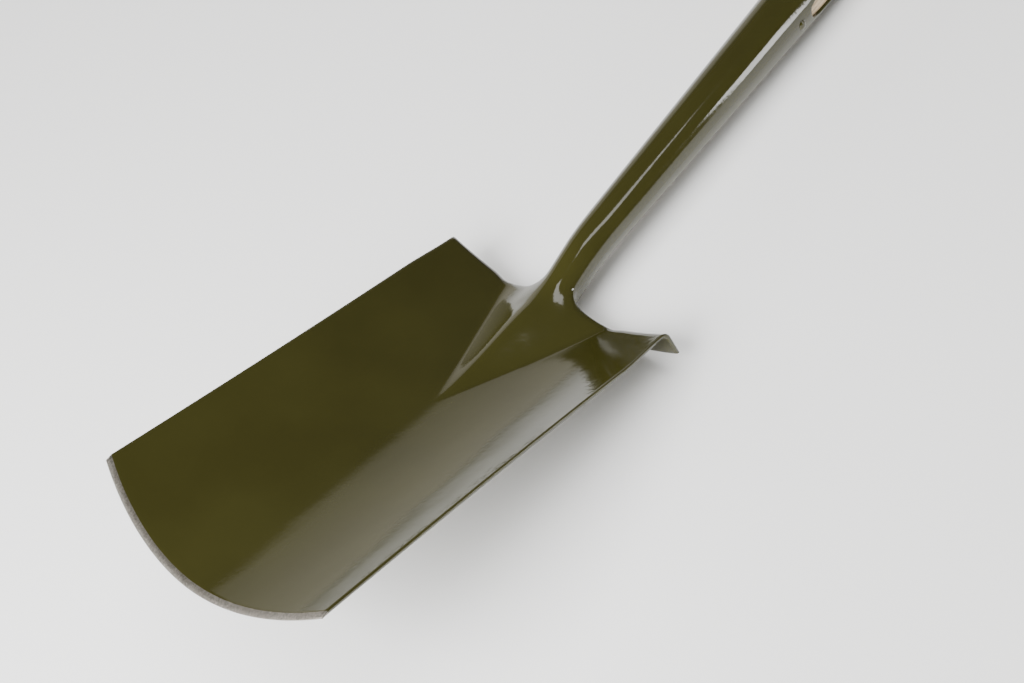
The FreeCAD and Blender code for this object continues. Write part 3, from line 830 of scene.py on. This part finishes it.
def turned(name, profile, centre, axes, material, sides=48, dents=0.0, levels=1):
    """A piece turned from (distance along, radius) points, closed on its axis at both ends."""
    net, grain = Net(), []
    rings = []
    for place, radius in profile:
        if radius <= 0.0:
            rings.append([net.add(tuple(np.array(centre) + place * axes[2]))] * sides)
            grain.append((0.0, place, 0.0))
            continue
        ring = []
        for n in range(sides):
            angle = 2 * math.pi * n / sides
            dent = dents * math.sin(2.3 * angle + 1.7 * place) * math.sin(0.9 * radius + 3 * angle)
            local = np.array([radius * math.cos(angle), radius * math.sin(angle), place + math.copysign(dent, place)])
            ring.append(net.add(tuple(np.array(centre) + local @ axes)))
            grain.append((local[0], place, local[1]))
        rings.append(ring)
    for first, second in zip(rings, rings[1:]):
        net.band(first, second, closed=True)
    piece = build(name, net.points, net.faces, SHAFT, [material])
    add_grain(piece, grain)
    even_normals(piece)
    soften(piece, levels)
    return piece


def dome(seat, height, radius, steps=9):
    """Profile of a low domed head, from the middle of its top down to its seat."""
    curve = (radius ** 2 + height ** 2) / (2 * height)
    points = []
    for n in range(steps + 1):
        out = radius * n / steps
        points.append((seat + height - curve + math.sqrt(curve ** 2 - out ** 2), out))
    return points


def pin_profile(seat, height, head, radius, skirt=0.0):
    """A pin with a domed head at each end."""
    half = dome(seat, height, head)
    half += [(seat - 0.1, head + skirt), (seat - 0.25, head + skirt), (seat - 0.3, radius), (seat - 1.5, radius)]
    return half + [(-place, out) for place, out in reversed(half)]


def washer_profile(inner, outer, radius):
    edge = 0.3
    return [
        (inner, 0.0), (inner, radius - 1.5), (inner, radius - edge), (inner + edge, radius), (outer - edge, radius),
        (outer - 0.04, radius - edge), (outer, radius - 1.5), (outer, 0.0),
    ]


GRIP_HALF = 42.75
GRIP_RADIUS = 16.5
GRIP_END_RADIUS = 14.0


def grip_profile():
    rise = GRIP_RADIUS - GRIP_END_RADIUS
    curve = (GRIP_HALF ** 2 + rise ** 2) / (2 * rise)
    points = [(-GRIP_HALF, 0.0), (-GRIP_HALF, 9.0), (-GRIP_HALF, GRIP_END_RADIUS - 1.6), (-GRIP_HALF + 0.3, GRIP_END_RADIUS - 0.75)]
    for place in np.linspace(-GRIP_HALF + 1.2, GRIP_HALF - 1.2, 27):
        points.append((float(place), GRIP_RADIUS - curve + math.sqrt(curve ** 2 - place ** 2)))
    points += [(GRIP_HALF - 0.3, GRIP_END_RADIUS - 0.75), (GRIP_HALF, GRIP_END_RADIUS - 1.6), (GRIP_HALF, 9.0), (GRIP_HALF, 0.0)]
    return points


def place_piece(piece, node):
    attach(piece, "root")
    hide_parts(node)


def make_fittings(ash, steel, paint):
    grip = turned("turned_grip", grip_profile(), (0, GRIP_AT, 0), ALONG_X, ash, sides=64)
    place_piece(grip, "hand_grip")
    rod = turned("peened_rod", pin_profile(62.8, 2.0, 6.0, 4.0), (0, GRIP_AT, 0), ALONG_X, steel, dents=0.07)
    place_piece(rod, "grip_rod")
    throat = turned("throat_pin", pin_profile(17.55, 1.8, 4.6, 2.75), (0, 545.0, 0), ALONG_X, steel, dents=0.06)
    place_piece(throat, "throat_rivet")
    for side, name in ((-1, "left"), (1, "right")):
        rove = turned(f"rove_{name}", washer_profile(side * 61.2, side * 62.8, 9.0) if side > 0 else mirrored(washer_profile(61.2, 62.8, 9.0)),
                      (0, GRIP_AT, 0), ALONG_X, steel)
        place_piece(rove, f"grip_rove_{name}")
        small = washer_profile(16.35, 17.55, 7.0)
        rove = turned(f"throat_washer_{name}", small if side > 0 else mirrored(small), (0, 545.0, 0), ALONG_X, steel)
        place_piece(rove, f"throat_rove_{name}")
    cross = turned("socket_pin", pin_profile(19.74, 1.4, 3.6, 2.75, 0.25), (0, 272.0, 0), ALONG_X, paint, dents=0.04)
    place_piece(cross, "socket_rivet")
    for place, name in ((330.0, "lower"), (392.0, "upper")):
        pin = turned(f"strap_pin_{name}", pin_profile(20.25, 1.8, 4.6, 2.75, 0.3), (0, place, 0), ALONG_Z, paint, dents=0.06)
        place_piece(pin, f"strap_rivet_{name}")


def mirrored(profile):
    return [(-place, radius) for place, radius in profile]


# ------------------------------------------------------------------ materials


def new_material(name, **sockets):
    """A material whose even qualities are set straight on its shader."""
    material = bpy.data.materials.new(name)
    material.use_nodes = True
    shader = material.node_tree.nodes["Principled BSDF"]
    for socket, value in sockets.items():
        shader.inputs[socket.replace("_", " ")].default_value = value
    return material


class Nodes:
    """Short way to add and join shader nodes."""

    def __init__(self, tree):
        self.tree = tree

    def add(self, kind, inputs=None, **settings):
        made = self.tree.nodes.new(kind)
        for name, value in settings.items():
            setattr(made, name, value)
        for socket, value in (inputs or {}).items():
            self.put(made.inputs[socket], value)
        return made

    def put(self, socket, value):
        if isinstance(value, bpy.types.NodeSocket):
            self.tree.links.new(value, socket)
        else:
            socket.default_value = value

    def shader(self, **sockets):
        bsdf = self.tree.nodes["Principled BSDF"]
        for socket, value in sockets.items():
            self.put(bsdf.inputs[socket.replace("_", " ")], value)

    def math(self, operation, a, b=0.0):
        made = self.add("ShaderNodeMath", operation=operation)
        self.put(made.inputs[0], a)
        self.put(made.inputs[1], b)
        return made.outputs[0]

    def range(self, value, low, high, to_low=0.0, to_high=1.0, smooth=False):
        made = self.add("ShaderNodeMapRange", {"Value": value, "From Min": low, "From Max": high, "To Min": to_low, "To Max": to_high})
        made.interpolation_type = "SMOOTHSTEP" if smooth else "LINEAR"
        return made.outputs["Result"]

    def noise(self, vector, scale, detail=2.0, roughness=0.5):
        made = self.add("ShaderNodeTexNoise", {"Vector": vector, "Scale": scale, "Detail": detail, "Roughness": roughness})
        return made.outputs["Fac"]

    def stretch(self, vector, scale, turn=(0.0, 0.0, 0.0)):
        made = self.add("ShaderNodeMapping", {"Vector": vector, "Scale": scale, "Rotation": turn})
        return made.outputs["Vector"]

    def blend(self, factor, a, b, mode="MIX"):
        made = self.add("ShaderNodeMix", data_type="RGBA", blend_type=mode)
        self.put(made.inputs["Factor"], factor)
        self.put(made.inputs[6], a)
        self.put(made.inputs[7], b)
        return made.outputs[2]

    def bump(self, height, distance, strength=1.0, normal=None):
        made = self.add("ShaderNodeBump", {"Height": height, "Distance": distance, "Strength": strength})
        if normal is not None:
            self.put(made.inputs["Normal"], normal)
        return made.outputs["Normal"]

    def place(self):
        return self.add("ShaderNodeTexCoord").outputs["Object"]


def enamel():
    """Thick glossy olive stove enamel, with a little orange peel and the slow waves of the forging under it."""
    material = new_material("olive_enamel", IOR=1.6)
    nodes = Nodes(material.node_tree)
    place = nodes.place()
    cloud = nodes.noise(place, 14.0, 3.0)
    colour = nodes.blend(nodes.range(cloud, 0.35, 0.65), (0.0366, 0.0342, 0.0068, 1), (0.0425, 0.040, 0.0085, 1))
    peel = nodes.noise(place, 340.0, 2.0, 0.6)
    waves = nodes.noise(nodes.stretch(place, (34.0, 9.0, 34.0)), 1.0, 2.0)
    dust = nodes.range(nodes.noise(place, 95.0, 4.0, 0.65), 0.3, 0.75, 0.05, 0.095)
    normal = nodes.bump(peel, 0.000032)
    normal = nodes.bump(waves, 0.00024, normal=normal)
    nodes.shader(Base_Color=colour, Roughness=dust, Normal=normal)
    return material


def ground_steel():
    """Bare steel of the ground cutting edge, with the wheel's fine marks across it."""
    material = new_material("ground_steel", Metallic=1.0)
    nodes = Nodes(material.node_tree)
    place = nodes.place()
    marks = nodes.noise(nodes.stretch(place, (2600.0, 160.0, 160.0)), 1.0, 3.0, 0.7)
    grit = nodes.noise(place, 900.0, 3.0, 0.75)
    patches = nodes.noise(place, 60.0, 3.0)
    colour = nodes.blend(nodes.range(marks, 0.3, 0.7), (0.19, 0.175, 0.15, 1), (0.41, 0.385, 0.34, 1))
    colour = nodes.blend(nodes.range(grit, 0.42, 0.66, 0.0, 0.75), colour, (0.08, 0.073, 0.062, 1))
    colour = nodes.blend(nodes.range(patches, 0.35, 0.75, 0.0, 0.35), colour, (0.17, 0.15, 0.125, 1))
    normal = nodes.bump(marks, 0.00007)
    normal = nodes.bump(grit, 0.00008, normal=normal)
    nodes.shader(Base_Color=colour, Roughness=nodes.range(marks, 0.3, 0.7, 0.36, 0.5), Normal=normal)
    return material


def rolled_steel():
    """Bright steel of roves and pins: faint hammer dimples, a brown bloom and fine scratches."""
    material = new_material("rolled_steel", Metallic=1.0)
    nodes = Nodes(material.node_tree)
    place = nodes.place()
    bloom = nodes.noise(place, 260.0, 4.0, 0.65)
    scratch = nodes.noise(nodes.stretch(place, (900.0, 5200.0, 900.0), (0.4, 0.2, 0.9)), 1.0, 2.0)
    colour = nodes.blend(nodes.range(bloom, 0.42, 0.72), (0.56, 0.54, 0.51, 1), (0.33, 0.29, 0.25, 1))
    normal = nodes.bump(scratch, 0.000012)
    normal = nodes.bump(nodes.noise(place, 420.0, 1.0), 0.00008, normal=normal)
    nodes.shader(Base_Color=colour, Roughness=nodes.range(bloom, 0.3, 0.75, 0.27, 0.5), Normal=normal)
    return material


def ash_wood(name, turn):
    """Pale waxed ash: growth rings cut along the shaft, open pores in the early wood, soft flecks."""
    material = new_material(name, Coat_Weight=0.12, Coat_Roughness=0.25)
    nodes = Nodes(material.node_tree)
    place = nodes.add("ShaderNodeAttribute", attribute_name="grain").outputs["Vector"]
    drift = nodes.noise(nodes.stretch(place, (24.0, 3.2, 24.0)), 1.0, 2.0)
    # Rings about a pith that lies outside the piece.
    turned_place = nodes.stretch(place, (1.0, 0.0, 1.0), turn)
    off = nodes.add("ShaderNodeVectorMath", operation="ADD")
    nodes.put(off.inputs[0], turned_place)
    nodes.put(off.inputs[1], (0.034, 0.0, 0.012))
    length = nodes.add("ShaderNodeVectorMath", {0: off.outputs[0]}, operation="LENGTH").outputs["Value"]
    ring = nodes.math("ADD", nodes.math("MULTIPLY", length, 390.0), nodes.math("MULTIPLY", drift, 5.5))
    ring = nodes.math("FRACT", ring)
    early = nodes.math("MULTIPLY", nodes.range(ring, 0.0, 0.10, smooth=True), nodes.range(ring, 0.62, 0.16, smooth=True))
    pores = nodes.noise(nodes.stretch(place, (2300.0, 62.0, 2300.0)), 1.0, 3.0, 0.7)
    pores = nodes.range(pores, 0.50, 0.66, smooth=True)
    fibre = nodes.noise(nodes.stretch(place, (1400.0, 14.0, 1400.0)), 1.0, 3.0, 0.6)
    tone = nodes.noise(nodes.stretch(place, (40.0, 4.0, 40.0)), 1.0, 2.0)
    colour = nodes.blend(nodes.range(tone, 0.3, 0.7), (0.66, 0.49, 0.30, 1), (0.75, 0.585, 0.385, 1))
    colour = nodes.blend(nodes.math("MULTIPLY", early, 0.62), colour, (0.49, 0.325, 0.165, 1))
    colour = nodes.blend(nodes.range(fibre, 0.3, 0.7, 0.16, 0.0), colour, (0.40, 0.27, 0.14, 1))
    pitted = nodes.math("MULTIPLY", pores, nodes.math("ADD", nodes.math("MULTIPLY", early, 0.75), 0.12))
    colour = nodes.blend(nodes.math("MULTIPLY", pitted, 0.75), colour, (0.235, 0.145, 0.07, 1))
    height = nodes.math("SUBTRACT", nodes.math("MULTIPLY", fibre, 0.25), pitted)
    nodes.shader(Base_Color=colour, Roughness=nodes.range(pitted, 0.0, 1.0, 0.42, 0.62), Normal=nodes.bump(height, 0.00007))
    return material


# ------------------------------------------------------------------ scene


FLOOR_SHADE = 0.93


def make_floor():
    bpy.ops.mesh.primitive_plane_add(size=60.0, location=(0, 0, 0))
    floor = bpy.context.object
    floor.name = "floor"
    floor.data.materials.append(new_material("floor_paper", Base_Color=(FLOOR_SHADE, FLOOR_SHADE, 0.995 * FLOOR_SHADE, 1), Roughness=0.85))
    return floor


WORK_MIDDLE = Vector((0.0, -0.2, 0.05))
SOCKET_MIDDLE = Vector((0.0, 0.0, 0.04))
NECK_MIDDLE = Vector((0.0, -0.17, 0.04))
BLADE_MIDDLE = Vector((0.0, -0.38, 0.04))


def softbox(name, azimuth, elevation, distance, wide, high, radiance, target=WORK_MIDDLE):
    """An area light of a given brightness, in a direction from the work. Azimuth turns from +Y towards +X."""
    turn, rise = math.radians(azimuth), math.radians(elevation)
    away = Vector((math.sin(turn) * math.cos(rise), math.cos(turn) * math.cos(rise), math.sin(rise)))
    data = bpy.data.lights.new(name, "AREA")
    data.shape = "RECTANGLE"
    data.size, data.size_y = wide, high
    data.energy = radiance * math.pi * wide * high
    lamp = bpy.data.objects.new(name, data)
    bpy.context.collection.objects.link(lamp)
    lamp.location = target + distance * away
    lamp.rotation_euler = (-away).to_track_quat("-Z", "Y").to_euler()


def light_floor_only(floor, radiance):
    """A wide sun that is linked to the floor alone, so the sweep is evenly pale and the work keeps its contrast."""
    data = bpy.data.lights.new("floor_sun", "SUN")
    data.energy = radiance * math.pi / FLOOR_SHADE
    data.angle = 1.2
    lamp = bpy.data.objects.new("floor_sun", data)
    bpy.context.collection.objects.link(lamp)
    lit = bpy.data.collections.new("lit_by_floor_sun")
    lit.objects.link(floor)
    lamp.light_linking.receiver_collection = lit


def make_light(floor):
    """A dark studio with a pale wall low on the left, a strip light on the right and a softbox overhead."""
    world = bpy.data.worlds.new("studio")
    bpy.context.scene.world = world
    world.use_nodes = True
    nodes = Nodes(world.node_tree)
    sky = nodes.add("ShaderNodeSeparateXYZ", {"Vector": nodes.add("ShaderNodeTexCoord").outputs["Generated"]})
    edge = nodes.range(sky.outputs["Z"], 0.44, 0.36, smooth=True)
    low = nodes.math("MULTIPLY", edge, nodes.range(sky.outputs["Z"], 0.42, 0.0, 0.55, 1.0))
    left = nodes.range(sky.outputs["X"], -0.2, -0.55, smooth=True)
    wall = nodes.math("MULTIPLY", low, left)
    level = nodes.range(nodes.math("ABSOLUTE", sky.outputs["Z"]), 0.2, 0.06, smooth=True)
    beyond = nodes.math("MULTIPLY", level, nodes.range(sky.outputs["X"], 0.5, 0.2, 0.0, 0.62))
    glow = nodes.range(nodes.math("MAXIMUM", wall, beyond), 0.0, 1.0, 0.11, 1.06)
    world.node_tree.nodes["Background"].inputs["Color"].default_value = (1.0, 0.955, 0.86, 1.0)
    nodes.put(world.node_tree.nodes["Background"].inputs["Strength"], glow)
    softbox("strip", 59.5, 9.5, 2.5, 0.3, 0.85, 12.0, SOCKET_MIDDLE)
    softbox("overhead", 39.0, 70.2, 3.2, 0.54, 1.7, 4.5, NECK_MIDDLE)
    light_floor_only(floor, 0.66)
    softbox("wall", -108.0, 14.0, 2.6, 1.6, 1.2, 4.0)
    softbox("fill", 176.0, 46.0, 1.3, 1.0, 1.0, 15.0, BLADE_MIDDLE)


FOCAL = 50.2
CAMERA_TOOL = (536.08, -223.75, 548.87)
CAMERA_ROWS = np.array([
    [0.7224, 0.6833, -0.1059],
    [0.3565, -0.4992, -0.7897],
    [-0.5925, 0.5328, -0.6042],
])


def make_camera():
    data = bpy.data.cameras.new("camera")
    data.lens = FOCAL
    data.sensor_width = 36.0
    camera = bpy.data.objects.new("camera", data)
    bpy.context.collection.objects.link(camera)
    right, down, forward = CAMERA_ROWS @ TOOL[1]
    matrix = Matrix.Identity(4)
    place = placed([CAMERA_TOOL], TOOL)[0]
    for row in range(3):
        matrix[row][0] = right[row]
        matrix[row][1] = -down[row]
        matrix[row][2] = -forward[row]
        matrix[row][3] = place[row]
    camera.matrix_world = matrix
    bpy.context.scene.camera = camera


make_camera()
make_light(make_floor())
paint = enamel()
place_piece(make_head([paint, ground_steel()]), "spade_head")
place_piece(make_handle(ash_wood("ash_shaft_wood", (0.0, 0.5, 0.0))), "ash_shaft")
make_fittings(ash_wood("ash_grip_wood", (0.0, 2.1, 0.0)), rolled_steel(), paint)


def plain(box):
    return [[float(v) for v in corner] for corner in box]
